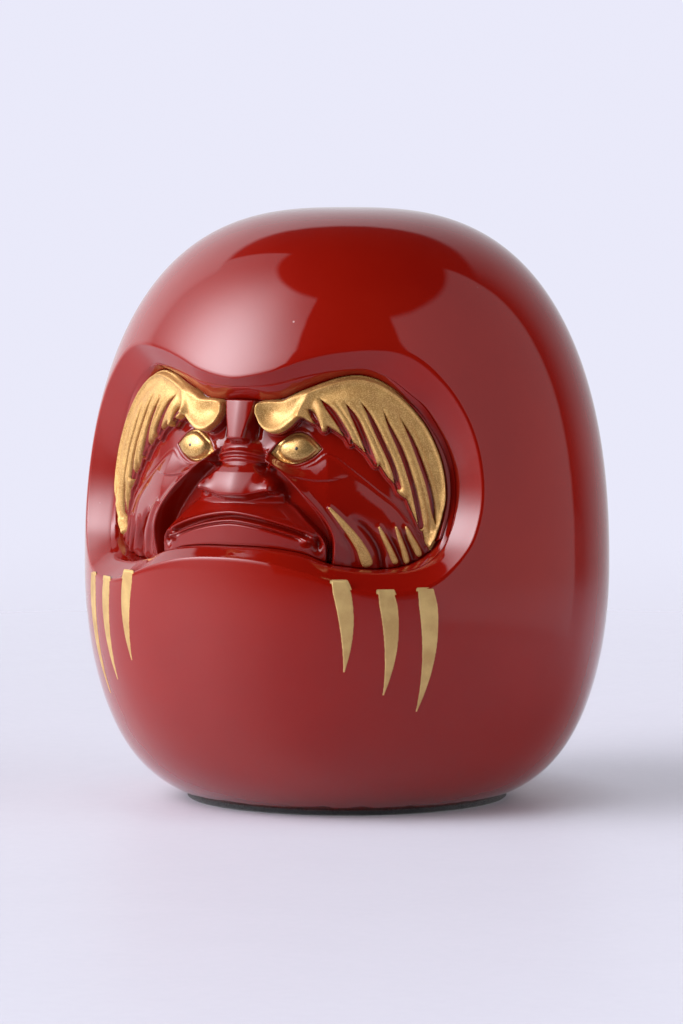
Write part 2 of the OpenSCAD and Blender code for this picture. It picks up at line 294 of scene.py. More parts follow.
# The raised lower edge of the brow's inner lobe, and the ridge beside the lobe
LOBE_RIM = [(3.7, 12.6), (3.8, 10.8), (4.8, 9.0), (6.6, 8.1), (8.6, 8.4), (10.4, 9.7), (11.8, 10.9)]
LOBE_RIDGE = [(11.9, 10.7), (12.3, 12.3), (13.4, 14.2)]
GOLD_T = 0.4
SURFACE = 9.0  # forward heights are counted from this depth below the body's surface
FACE_EDGE_ROUND = 0.25
BROW_SEAT = 4.0  # forward height of the face between the brow and the wall

BROW_OUTLINE = np.vstack([curve(BROW_TOP, 6), curve(BROW_LOW, 5)])
EYE_OUTLINE = np.vstack([curve(EYE_UPPER, 8), curve(EYE_LOWER, 8)])


def slot_cut(x, y):
    """Distance outside the brow's slots, negative inside one."""
    outside = np.full(x.shape, 1e9)
    for line, width in SLOTS:
        d, t, _ = line_distance(x, y, curve(line, 5))
        half = width / 2 * np.sqrt(np.clip(t * 5, 0.01, 1)) * (0.6 + 0.4 * smooth(t * 2.5))
        if line is SLOTS[-1][0]:
            half = half * smooth((1 - t) * 4)
        outside = np.minimum(outside, d - half)
    return outside


def strand_waves(x, y):
    """The brow's combing: fine grooves between the slots and beside the last one."""
    grooves = np.zeros(x.shape)
    for (first, _), (second, _) in zip(SLOTS[1:-1], SLOTS[2:]):
        count = min(len(first), len(second))
        share = np.linspace(0, 1, count)
        ends = [
            np.array(line)[np.round(share * (len(line) - 1)).astype(int)] for line in (first, second)
        ]
        path = ends[0] * 0.42 + ends[1] * 0.58
        path[0] += (-0.4, 0.5)
        d, t, _ = line_distance(x, y, curve(path, 5))
        grooves += 0.34 * hump(d, 0.26) * smooth(t * 3)
    beyond = [(px + 1.3, py + 0.39) for px, py in SLOTS[-1][0][:-1]]
    d, t, _ = line_distance(x, y, curve(beyond, 5))
    return grooves + 0.22 * hump(d, 0.35) * smooth(t * 3)


def brow_height(x, y):
    """Forward height of the gilded brow's face."""
    d_top, _, _ = line_distance(x, y, curve(BROW_TOP, 4))
    d_low, _, _ = line_distance(x, y, curve(BROW_LOW, 3))
    outer = smooth((x - 8) / 12)
    crest = 5.5 - 0.9 * smooth((x - 14) / 22) - 0.5 * smooth(-(y + 4) / 9)
    bead = 0.28 * hump(d_top - 0.55, 0.28) - 0.9 * hump(d_top, 0.28)
    f = crest - 0.55 * hump(d_top - 1.7, 1.3) * outer + bead * outer
    f -= (0.2 * hump(d_low, 0.8) + 0.9 * np.exp(-d_low / 2.4)) * smooth((x - 14) / 5)
    # the inner lobe: a hollow with a raised lower edge, and a sharp ridge beside it
    d, _, _ = line_distance(x, y, curve(LOBE_RIM, 6))
    f += 0.42 * hump(d, 0.7) + 0.1 * ellipse(x, y, 6.6, 8.1, 2.2, 1.0)
    f -= 1.15 * ellipse(x, y, 6.6, 11.0, 2.6, 1.9)
    ridge, t, _ = line_distance(x, y, curve(LOBE_RIDGE, 6))
    f += 0.85 * hump(ridge, 0.75) * (1 - 0.6 * t)
    f -= 0.6 * ellipse(x, y, 13.9, 11.3, 1.0, 1.6)
    for line, _ in SLOTS:
        d, t, s = line_distance(x, y, curve(line, 5))
        f -= 0.32 * np.exp(-d / 0.9) * (s > 0) * smooth(t * 2.5) * smooth((1 - t) * 8)
    # each strand is rounded over towards the slots beside it
    f -= 0.16 * hump(np.maximum(slot_cut(x, y), 0), 0.3)
    return f - strand_waves(x, y)


def roof(x, slope, width):
    """A rounded ridge along the middle line: 0 there, and falling to both sides."""
    return -slope * (np.sqrt(x * x + width * width) - width)


def muzzle_height(x, y):
    """The mound round the mouth: upper lip, mouth line, lower lip and chin block."""
    ax = np.abs(x)
    side = (ax / 17) ** 2
    lip = y + 7.9 + 3.7 * (ax / 14.6) ** 1.6  # height above the mouth line
    upper = 4.7 - 1.7 * side - 0.85 * np.clip(lip - 1.1, 0, 5)
    chin = 4.75 - 1.9 * side - 0.13 * np.clip(-lip - 0.9, 0, 9)
    f = upper + (chin - upper) * step(-lip, 0, 0.5)
    fade = smooth((15.4 - ax) / 2.5)
    f += 0.30 * hump(lip - 1.15, 0.40) * fade
    f -= 1.45 * hump(lip - 0.22, 0.38) * fade
    f += 0.10 * hump(lip + 0.40, 0.30) * fade
    f -= 0.70 * hump(lip + 0.82, 0.20) * smooth((13.4 - ax) / 3)
    f += 1.0 * ellipse(ax, y, 13.7, -11.7, 1.0, 0.7)
    f -= 1.2 * ellipse(ax, y, 15.3, -12.2, 0.7, 1.2)
    return f


def nose_height(x, y):
    """Nose, its wrinkled root and the block between the brows."""
    ax = np.abs(x)
    # body of the nose: a wedge that widens downwards and ends in a soft tip
    half = 3.3 + 3.5 * smooth((1.8 - y) / 3.8)
    low = np.clip(0.3 - y, 0, 3.6)
    front = 3.4 + 0.76 * np.clip(2.0 - y, 0, 1.7) + 0.44 * low - 0.05 * low**2
    body = front + roof(x, 0.22, 0.9) - 2.6 * smooth((ax - half + 0.4) / 2.6)
    body += 1.35 * ellipse(ax, y, 7.3, -2.6, 1.9, 1.5)
    body -= 0.35 * ellipse(ax, y, 5.6, -0.6, 0.9, 1.4)
    base = -4.25 + 0.55 * smooth((ax - 1.8) / 3.2) + 0.25 * smooth((ax - 6) / 2)
    under = step(base - y, 0.0, 1.5)
    f_nose = blend(body, 3.3 - 0.02 * x * x, under)
    f_nose -= 1.3 * ellipse(ax, y, 6.4, -3.5, 1.0, 0.6)
    top = smooth((2.2 - y) / 1.0)
    # root with three wrinkles
    root = 3.2 - 0.06 * x * x
    for wrinkle_y, height in ((4.0, 0.75), (2.75, 0.55), (1.7, 0.4)):
        root += height * hump(y - wrinkle_y + 0.04 * ax * ax, 0.42) * smooth((6.6 - ax) / 3)
    # block between the brows, narrower below
    block_half = 1.55 + 1.5 * smooth((y - 5.6) / 8)
    block = 5.5 - 0.02 * (y - 6) + roof(x, 0.22, 0.6) - 3.2 * smooth((ax - block_half + 0.25) / 1.5)
    lift = smooth((y - 5.1) / 1.5)
    return blend(blend(root, block, lift), f_nose, top)


def cheek_height(x, y, brow_in, eye_in):
    """Cheek, its folds and the hollow above it; and the hollow alone, which the brow rises from."""
    crease_d, _, crease_side = line_distance(x, y, curve(CREASE, 6))
    below_crease = np.where(crease_side < 0, 1.0, 0.0) * smooth((x - 4) / 2)
    # hollow between the brow and the crease
    share = np.clip(-brow_in, 0, 50) / (np.clip(-brow_in, 0, 50) + crease_d + 0.3)
    hollow = 1.9 + 0.35 * share
    # cheek: highest beside the fold, falling away to the crease
    fold_d, fold_t, fold_s = line_distance(x, y, curve(FOLD, 6))
    crest = 4.1 + 1.2 * smooth(fold_t * 1.4)
    away = fold_d / (fold_d + crease_d + 0.01)
    cheek = crest + (2.1 - crest) * away**1.1 + 0.22 * hump(crease_d, 0.45)
    cheek -= 0.18 * (np.sqrt(np.clip(-2.5 - y, 0, 30) ** 2 + 1) - 1) * (1 - smooth(away * 1.6 - 0.6))
    f = blend(hollow, cheek, below_crease)
    # recess that the eye sits in
    f -= 0.9 * ellipse(x, y, 9.6, 7.6, 3.2, 1.6)
    f += (0.9 - f) * smooth((eye_in + 0.15) / 0.5)
    d, t, s = line_distance(x, y, curve(LID_FOLD, 6))
    above = d * s
    bulge = 0.55 * np.exp(-np.clip(above, 0, 9) / 1.4) * smooth(above / 0.4 + 0.5)
    f += bulge * smooth((1 - t) * 3) * smooth(t * 8 + 0.3)
    # fold beside the nose and the mouth, with a deep valley inside it
    inner = np.where(fold_s < 0, 1.0, 0.0)
    f += (0.3 + 0.2 * np.sin(fold_t * math.pi)) * hump(fold_d, 0.8) * smooth(fold_t * 6 + 0.2)
    valley = 0.9 - 0.5 * smooth(fold_t)
    drop = inner * smooth(fold_d / 1.0) * smooth((x - 4.4) / 2.5) * step(1.6 - y, 0, 1.5)
    f = blend(f, valley, drop)
    # grooves and scallops of the lower cheek
    for strand in STRANDS:
        ridge = inside_distance(x, y, curve(strand, 4, closed=True))
        f += 0.45 * smooth((ridge + 0.9) / 1.2)
    for path, depth, width in CHEEK_GROOVES:
        d, t, _ = line_distance(x, y, curve(path, 5))
        f -= depth * hump(d, width) * smooth(t * 3)
    return f, hollow


def face_height(x, y):
    """Forward height of the red face, under the gold."""
    x = np.abs(x)
    brow_in = inside_distance(x, y, BROW_OUTLINE)
    eye_in = inside_distance(x, y, EYE_OUTLINE)
    f, hollow = cheek_height(x, y, brow_in, eye_in)
    # muzzle
    muzzle_d, _, muzzle_s = line_distance(x, y, curve(MUZZLE, 6))
    in_muzzle = np.where(muzzle_s > 0, -muzzle_d, muzzle_d)
    in_muzzle = np.where(y > -4.4, -9.0, in_muzzle)
    in_muzzle = np.where((x < 9.6) & (y <= -4.0), np.maximum(in_muzzle, -4.0 - y), in_muzzle)
    muzzle = muzzle_height(x, y) + 0.25 * hump(muzzle_d - 0.2, 0.35)
    f = blend(f, muzzle, step(in_muzzle, 0.1, 0.6))
    # nose over all that
    nose_half = np.interp(y, NOSE_EDGE_Y, NOSE_EDGE_X)
    in_nose = step(nose_half - x, 0.3, 1.2) * step(y, -5.3, 0.8)
    f = blend(f, nose_height(x, y), in_nose)
    # eyelids
    lid_up, _, _ = line_distance(x, y, curve(EYE_UPPER, 6))
    lid_low, _, _ = line_distance(x, y, curve(EYE_LOWER, 6))
    lids = 0.14 * hump(lid_up - 0.3, 0.45) + 0.10 * hump(lid_low - 0.3, 0.45)
    f += lids * step(-eye_in, 0, 0.3) * smooth((15.6 - x) / 3)
    # narrow seat between the brow and the wall
    d_top, _, _ = line_distance(x, y, curve(BROW_TOP, 4))
    d_low, _, _ = line_distance(x, y, curve(BROW_LOW, 3))
    seat = np.where(d_top < d_low, 1.0, 0.0) * smooth((x - 9) / 3) * smooth((y + 12.6) / 1.2)
    f = blend(f, BROW_SEAT, seat)
    # brow
    under_gold = step(brow_in, 0.0, 0.35)
    cut = step(-slot_cut(x, y), 0.1, 0.3)
    f_brow = brow_height(x, y) - GOLD_T - 0.12 * cut
    shoulder = hollow + (f_brow - hollow) * 0.55
    ring = step(brow_in, -0.7, 0.5) * (1 - under_gold)
    f = blend(f, np.maximum(f, shoulder), ring)
    f = blend(f, f_brow, under_gold)
    # rounded edge all round the insert
    edge = np.clip(inside_distance(x, y, WALL_OUTLINE) / FACE_EDGE_ROUND, 0, 1)
    return f - FACE_EDGE_ROUND * (1 - np.sqrt(np.clip(1 - (1 - edge) ** 2, 0, 1)))


def face_depth(x, y):
    """Depth of the face under the body's surface."""
    return SURFACE - face_height(x, y)


# ---------------------------------------------------------------- mesh helpers
def make_mesh(name, points_mm, faces, smooth_angle, closed=False):
    """A piece from points in millimetres; edges sharper than the angle stay sharp."""
    mesh = bpy.data.meshes.new(name)
    mesh.from_pydata((np.asarray(points_mm) * MM).tolist(), [], faces)
    mesh.validate()
    if closed:
        form = bmesh.new()
        form.from_mesh(mesh)
        bmesh.ops.recalc_face_normals(form, faces=form.faces)
        form.to_mesh(mesh)
        form.free()
    mesh.polygons.foreach_set("use_smooth", [True] * len(mesh.polygons))
    if smooth_angle < 180:
        mesh.set_sharp_from_angle(angle=math.radians(smooth_angle))
    piece = bpy.data.objects.new(name, mesh)
    bpy.context.scene.collection.objects.link(piece)
    return piece


def grid_faces(rows, columns, start=0, wrap=False, flip=False):
    """Quads between the points of a grid that is stored row by row."""
    across = columns if wrap else columns - 1
    r, c = np.meshgrid(np.arange(rows - 1), np.arange(across), indexing="ij")
    a = start + r * columns + c
    b = start + r * columns + (c + 1) % columns
    quads = np.stack([a, b, b + columns, a + columns], -1).reshape(-1, 4)
    return (quads[:, ::-1] if flip else quads).tolist()


def cut_away(piece, tool):
    """Takes the tool's solid out of the piece, and removes the tool."""
    mod = piece.modifiers.new("cut", "BOOLEAN")
    mod.operation = "DIFFERENCE"
    mod.solver = "MANIFOLD"
    mod.object = tool
    depsgraph = bpy.context.evaluated_depsgraph_get()
    result = bpy.data.meshes.new_from_object(piece.evaluated_get(depsgraph))
    piece.modifiers.remove(mod)
    old = piece.data
    piece.data = result
    bpy.data.meshes.remove(old)
    bpy.data.objects.remove(tool)


def turned(name, profile, segments=128):
    """A closed solid of revolution through (radius, z) points that start and end on the axis."""
    ring = np.array(profile[1:-1], float)
    a = np.linspace(0, 2 * math.pi, segments, endpoint=False)
    points = [(0, 0, profile[0][1])]
    for r, z in ring:
        points += np.stack([r * np.cos(a), r * np.sin(a), np.full(segments, z)], -1).tolist()
    points.append((0, 0, profile[-1][1]))
    last = len(points) - 1
    faces = grid_faces(len(ring), segments, 1, wrap=True)
    faces += [[0, 1 + (i + 1) % segments, 1 + i] for i in range(segments)]
    first = last - segments
    faces += [[last, first + i, first + (i + 1) % segments] for i in range(segments)]
    return make_mesh(name, points, faces, 30, closed=True)


# ---------------------------------------------------------------- body shell
AROUND = 480  # points in each ring
BACK_RINGS = 72
RIM_ROUND = 0.6
SHELL_SHARP = 28  # degrees
CENTRE = np.array([0.0, 0.0, 58.0])  # the shell's rings are spread by direction from here
# Sections of the bevel and of the wall inside it: share of the way in, share of the depth
BEVEL = [
    (0, 0), (0.04, 0.03), (0.10, 0.10), (0.25, 0.26), (0.5, 0.51), (0.75, 0.76), (0.92, 0.93),
    (1, 1.03),
]
BEVEL_WALL = [(0.1, 0.06), (0.3, 0.25), (0.6, 0.56), (0.85, 0.85), (1, 1.08)]


def on_body(directions):
    """Where rays from the centre meet the body's surface."""
    low = np.zeros(directions.shape[:-1])
    high = np.full(directions.shape[:-1], 90.0)
    for _ in range(40):
        middle = (low + high) / 2
        p = CENTRE + directions * middle[..., None]
        outside = np.hypot(p[..., 0], p[..., 1]) > body_r(p[..., 2])
        high = np.where(outside, middle, high)
        low = np.where(outside, low, middle)
    return CENTRE + directions * ((low + high) / 2)[..., None]


def shell_rings():
    """The shell's outer skin as rings round the opening, from the back pole to the pocket."""
    rim, foot = opening_line(RIM, AROUND), opening_line(WALL_FOOT, AROUND)
    inner = opening_line(INNER, AROUND)
    inner, bevel_depth = inner[:, :2], inner[:, 2]
    lateral = (rim - inner) * np.array([MM_PER_DEGREE, 1.0])
    unit = (rim - inner) / np.hypot(*lateral.T)[:, None]
    edge = at(*(rim + unit * RIM_ROUND + [0, FACE_Z]).T, 0)
    start = edge - CENTRE
    start /= np.linalg.norm(start, axis=1)[:, None]
    back = np.array([0.0, 1.0, 0.0])
    angle = np.arccos(np.clip(start @ back, -1, 1))[:, None]
    rings = []
    for t in np.linspace(0, 1, BACK_RINGS)[:0:-1] ** 1.35:
        d = (np.sin(t * angle) * start + np.sin((1 - t) * angle) * back) / np.sin(angle)
        rings.append(on_body(d))
    rings.reverse()
    for share, part in curve(BEVEL, 3)[1:]:
        line = blend(rim, inner, share)
        soft = unit * RIM_ROUND * max(0, 1 - share / 0.08) ** 2
        rings.append(at(*(line + soft + [0, FACE_Z]).T, bevel_depth * part))
    wall_depth = np.maximum(5.0, bevel_depth + 0.5)
    for share, part in curve(BEVEL_WALL, 2):
        line = blend(inner, foot, share)
        rings.append(at(*(line + [0, FACE_Z]).T, bevel_depth + (wall_depth - bevel_depth) * part))
    for depth in (8.5, POCKET_DEPTH):
        rings.append(at(*(foot + [0, FACE_Z]).T, depth))
    for share in np.linspace(0.9, 0.1, 9):
        rings.append(at(*(foot * share + [0, FACE_Z]).T, POCKET_DEPTH))
    return rings


def closed_rings(name, rings, first, last, smooth_angle):
    """A closed piece through rings of points, with a point at each end."""
    points = np.vstack([[first], *rings, [last]])
    n = len(rings[0])
    end = len(points) - 1
    faces = grid_faces(len(rings), n, 1, wrap=True, flip=True)
    faces += [[0, 1 + i, 1 + (i + 1) % n] for i in range(n)]
    faces += [[end, end - n + (i + 1) % n, end - n + i] for i in range(n)]
    return make_mesh(name, points, faces, smooth_angle, closed=True)


def cavity_form(low_z):
    """The hollow of the shell: the body's form, a wall's thickness in, down to a height."""
    upper = [
        (
            (HALF_W - WALL) * math.cos(a) ** (2 / CROWN_POWERS[1]),
            WIDEST_Z + (CROWN_REACH - WALL) * math.sin(a) ** (2 / CROWN_POWERS[0]),
        )
        for a in np.radians(np.linspace(90, 0, 30))
    ]
    last = math.asin(((WIDEST_Z - low_z) / (BELLY_REACH - WALL)) ** (BELLY_POWERS[0] / 2))
    lower = [
        (
            (HALF_W - WALL) * math.cos(a) ** (2 / BELLY_POWERS[1]),
            WIDEST_Z - (BELLY_REACH - WALL) * math.sin(a) ** (2 / BELLY_POWERS[0]),
        )
        for a in np.linspace(0, last, 20)[1:]
    ]
    profile = [(0, upper[0][1])] + upper[1:] + lower + [(0, low_z)]
    return turned("cavity", profile[::-1], 96)


def backing_form():
    """The block behind the face's pocket, which the hollow goes round."""
    line = opening_line(WALL_FOOT, 96) * [1.15, 1.34]
    deep = POCKET_DEPTH + WALL
    shares = (0.2, 0.5, 0.8, 1.0)
    rings = [at(*(line * share + [0, FACE_Z]).T, 1.5) for share in shares]
    rings += [at(*(line * share + [0, FACE_Z]).T, deep) for share in shares[::-1]]
    return closed_rings("backing", rings, at(0.0, FACE_Z, 1.5), at(0.0, FACE_Z, deep), 180)


def body_shell():
    """The hollow body, open at the bottom, with the bevelled pocket for the face."""
    rings = shell_rings()
    back = on_body(np.array([[0.0, 1.0, 0.0]]))[0]
    floor = at(np.array(0.0), np.array(FACE_Z), POCKET_DEPTH)
    shell = closed_rings("body_shell_form", rings, back, floor, 180)
    low_z = FELT_T + PLATE_T + LEDGE_T
    cavity = cavity_form(low_z)
    cut_away(cavity, backing_form())
    cut_away(shell, cavity)
    seat_z, past = FELT_T + PLATE_T, low_z + 3
    bottom = [
        (0, -20), (90, -20), (90, FELT_T), (LEDGE_R, FELT_T), (LEDGE_R, seat_z), (BASE_HOLE_R, seat_z),
        (BASE_HOLE_R, past), (0, past),
    ]
    cut_away(shell, turned("bottom", bottom))
    shell.data.polygons.foreach_set("use_smooth", [True] * len(shell.data.polygons))
    shell.data.set_sharp_from_angle(angle=math.radians(SHELL_SHARP))
    return shell


# ---------------------------------------------------------------- face and gilding
FACE_COLUMNS, FACE_ROWS, REAR_ROWS = 700, 230, 8
FACE_GAP = 0.05  # between the face and the wall round it
FACE_REAR = POCKET_DEPTH - 0.15


def face_insert():
    """The red face as a closed piece: its relief in front, and a plain rear in the pocket."""
    line = opening_line(WALL_FOOT, 1600)
    top = line[line[:, 0] >= 0]
    peak = top[:, 0].argmax()
    upper, lower = top[: peak + 1], top[peak:]
    limit = top[peak, 0] * 0.998
    degrees = limit * np.sin(np.linspace(-1, 1, FACE_COLUMNS) * math.pi / 2)
    upper, lower = upper[upper[:, 0].argsort()], lower[lower[:, 0].argsort()]
    z_high = np.interp(np.abs(degrees), upper[:, 0], upper[:, 1]) - FACE_GAP
    z_low = np.interp(np.abs(degrees), lower[:, 0], lower[:, 1]) + FACE_GAP
    z_low = np.minimum(z_low, z_high - 0.02)

    def sheet(rows, depth):
        a = np.broadcast_to(degrees, (rows, FACE_COLUMNS))
        y = z_low + (z_high - z_low) * np.linspace(0, 1, rows)[:, None]
        return at(a, y + FACE_Z, depth(a * MM_PER_DEGREE, y)).reshape(-1, 3)

    points = np.vstack([sheet(FACE_ROWS, face_depth), sheet(REAR_ROWS, lambda x, y: FACE_REAR)])
    base = FACE_ROWS * FACE_COLUMNS
    faces = grid_faces(FACE_ROWS, FACE_COLUMNS)
    faces += grid_faces(REAR_ROWS, FACE_COLUMNS, base, flip=True)
    for row_f, row_b, flip in ((0, 0, False), (FACE_ROWS - 1, REAR_ROWS - 1, True)):
        for c in range(FACE_COLUMNS - 1):
            f0 = row_f * FACE_COLUMNS + c
            b0 = base + row_b * FACE_COLUMNS + c
            quad = [b0, b0 + 1, f0 + 1, f0]
            faces.append(quad[::-1] if flip else quad)
    for column, flip in ((0, False), (FACE_COLUMNS - 1, True)):
        loop = [r * FACE_COLUMNS + column for r in range(FACE_ROWS)]
        loop += [base + r * FACE_COLUMNS + column for r in range(REAR_ROWS - 1, -1, -1)]
        faces.append(loop[::-1] if flip else loop)
    return make_mesh("face_form", points, faces, 180)


EDGES = (  # of a cell: the way to its neighbour, and the edge's two corners
    ((-1, 0), (0, 0), (0, 1)),
    ((1, 0), (1, 1), (1, 0)),
    ((0, -1), (1, 0), (0, 0)),
    ((0, 1), (0, 1), (1, 1)),
)


def raised_patch(name, side, box, spacing, inside, front_depth, back_depth, sink):
    """A closed raised piece on a grid: inside() is the distance to its edge, positive inside.
    Its front runs under the surface beside it, so its edge is where the two cross. The sink
    is how wide the rounded edge is and how far it goes under."""
    (x0, y0), (x1, y1) = box
    x, y = np.meshgrid(np.arange(x0, x1, spacing), np.arange(y0, y1, spacing))
    d = inside(x, y)
    keep_point = d > -0.45
    keep = keep_point[:-1, :-1] & keep_point[1:, :-1] & keep_point[:-1, 1:] & keep_point[1:, 1:]
    under = back_depth(x, y)
    rise = np.clip(d / sink[0] + 0.5, 0, 1)
    rise = np.sqrt(np.clip(1 - (1 - rise) ** 2, 0, 1))
    front = blend(under + sink[1], front_depth(x, y), rise)
    rear = np.maximum(under + sink[1] * 2, front + 0.08)
    n = x.size
    index = np.arange(n).reshape(x.shape)
    degrees = x / MM_PER_DEGREE
    points = np.vstack([
        at(degrees, y + FACE_Z, front).reshape(-1, 3),
        at(degrees, y + FACE_Z, rear).reshape(-1, 3),
    ])
    a, b = index[:-1, :-1][keep], index[:-1, 1:][keep]
    c, e = index[1:, 1:][keep], index[1:, :-1][keep]
    quads = [np.stack([a, b, c, e], -1), np.stack([e, c, b, a], -1) + n]
    padded = np.pad(keep, 1)
    for (dr, dc), p, q in EDGES:
        near = padded[1 + dr : padded.shape[0] - 1 + dr, 1 + dc : padded.shape[1] - 1 + dc]
        r, k = np.nonzero(keep & ~near)
        i = index[r + p[0], k + p[1]]
        j = index[r + q[0], k + q[1]]
        quads.append(np.stack([j, i, i + n, j + n], -1))
    quads = np.vstack(quads)
    used, quads = np.unique(quads, return_inverse=True)
    quads = quads.reshape(-1, 4)
    points = points[used]
    if side == "left":
        points = points * [-1, 1, 1]
        quads = quads[:, ::-1]
    return make_mesh(name, points, quads.tolist(), 50)


def brow(side):
    """The gilded brow, parted by its slots."""

    def inside(x, y):
        return np.minimum(inside_distance(x, y, BROW_OUTLINE), slot_cut(x, y) * 2.5 + 0.1)

    return raised_patch(
        f"brow_{side}_gilt", side, ((2.6, -15.2), (40.2, 19.0)), 0.13, inside,
        lambda x, y: SURFACE - brow_height(x, y), face_depth, (0.55, 0.12),
    )


def cheek_strand(number):
    outline = curve(STRANDS[number - 1], 5, closed=True)
    return raised_patch(
        f"cheek_strand_right_{number}_gilt", "right", (outline.min(0) - 0.8, outline.max(0) + 0.8), 0.12,
        lambda x, y: inside_distance(x, y, outline),
        lambda x, y: face_depth(x, y) - 0.28, face_depth, (0.3, 0.08),
    )


# Beard strokes: degrees of the top and the tip, height of the top, length, widest half width
STROKES = [
    (26.3, 27.3, -18.5, 16.2, 1.35),
    (36.0, 35.9, -20.2, 18.8, 1.35),
    (44.6, 43.6, -20.0, 22.2, 1.45),
]


def beard_stroke(side, number):
    top_a, tip_a, top_y, length, half = STROKES[number - 1]
    t = np.linspace(0, 1, 24)
    bend = 1.3 * (4 * t * (1 - t))
    line_x = (top_a + (tip_a - top_a) * t**2 + bend) * MM_PER_DEGREE
    line_y = top_y - length * t
    width = half * np.clip(1 - t**1.9, 0.04, 1) * np.clip(0.80 + 1.6 * t, 0, 1)
    outline = np.vstack([
        np.stack([line_x + width, line_y], -1),
        np.stack([line_x - width, line_y], -1)[::-1],
    ])
    return raised_patch(
        f"beard_stroke_{side}_{number}_paint", side, (outline.min(0) - 0.6, outline.max(0) + 0.6), 0.09,
        lambda x, y: inside_distance(x, y, outline) - 0.05,
        lambda x, y: -0.07 + 0 * x, lambda x, y: 0 * x, (0.25, 0.04),
    )


def on_side(name, side, rings, first, last):
    """closed_rings, mirrored for the left side."""
    if side == "left":
        flip = np.array([-1, 1, 1])
        rings = [(r * flip)[::-1] for r in rings]
        first, last = first * flip, last * flip
    return closed_rings(name, rings, first, last, 60)


EYE_RINGS = (1.06, 1.0, 0.95, 0.9, 0.86, 0.82, 0.76, 0.68, 0.58, 0.47, 0.36, 0.25, 0.14, 0.05)


def eye(side):
    """The gilded ball between its lids."""
    upper, lower = curve(EYE_UPPER, 10), curve(EYE_LOWER, 10)
    outline = np.vstack([upper[:-1], lower[:-1]])
    cx, cy = EYE_CENTRE
    rings = []
    for share in EYE_RINGS:
        p = blend(np.array([cx, cy]), outline, share)
        ball = np.sqrt(np.clip(1 - (np.hypot((p[:, 0] - cx) / 1.45, p[:, 1] - cy) / 2.75) ** 2, 0, 1))
        rim = 0.35 * hump(share - 0.95, 0.06)
        height = EYE_SEAT + rim + (EYE_FRONT - EYE_SEAT) * ball * smooth((1.0 - share) / 0.25)
        if share > 1:
            height = EYE_SEAT - 1.0 + 0 * ball
        rings.append(at(p[:, 0] / MM_PER_DEGREE, p[:, 1] + FACE_Z, SURFACE - height))
    centre_front = at(cx / MM_PER_DEGREE, cy + FACE_Z, SURFACE - EYE_FRONT)
    centre_back = at(cx / MM_PER_DEGREE, cy + FACE_Z, SURFACE + 0.2)
    back = at(*(outline / [MM_PER_DEGREE, 1] + [0, FACE_Z]).T, SURFACE + 0.2)
    return on_side(f"eye_{side}_gilt", side, rings[::-1] + [back], centre_front, centre_back)


def pupil(side):
    cx, cy = EYE_CENTRE[0] - 0.25, EYE_CENTRE[1] + 0.1
    angle = np.linspace(0, 2 * math.pi, 24, endpoint=False)[::-1]

    def level(x, y, out):
        return at(x / MM_PER_DEGREE, y + FACE_Z, SURFACE - EYE_FRONT + 0.04 - out)

    rings = [
        level(cx + radius * np.cos(angle), cy + radius * np.sin(angle), out)
        for radius, out in ((0.14, 0.055), (0.28, 0.04), (0.36, 0.0), (0.36, -0.12))
    ]
    return on_side(f"pupil_{side}", side, rings, level(cx, cy, 0.06), level(cx, cy, -0.12))


# ---------------------------------------------------------------- materials
class Nodes:
    """A node tree, with short ways to add to it."""

    def __init__(self, tree):
        self.tree = tree

    def node(self, kind, links=None, **values):
        made = self.tree.nodes.new(kind)
        for name, value in values.items():
            setattr(made, name, value)
        for name, source in (links or {}).items():
            if isinstance(source, bpy.types.NodeSocket):
                self.tree.links.new(source, made.inputs[name])
            else:
                made.inputs[name].default_value = source
        return made

    def math(self, operation, a, b=0.0):
        return self.node("ShaderNodeMath", {0: a, 1: b}, operation=operation).outputs[0]

    def band(self, value, low, high, to_low=0.0, to_high=1.0, eased=False):
        """Takes low to to_low and high to to_high, and clamps beyond them."""
        links = {"Value": value, "From Min": low, "From Max": high, "To Min": to_low, "To Max": to_high}
        easing = "SMOOTHSTEP" if eased else "LINEAR"
        return self.node("ShaderNodeMapRange", links, interpolation_type=easing).outputs["Result"]


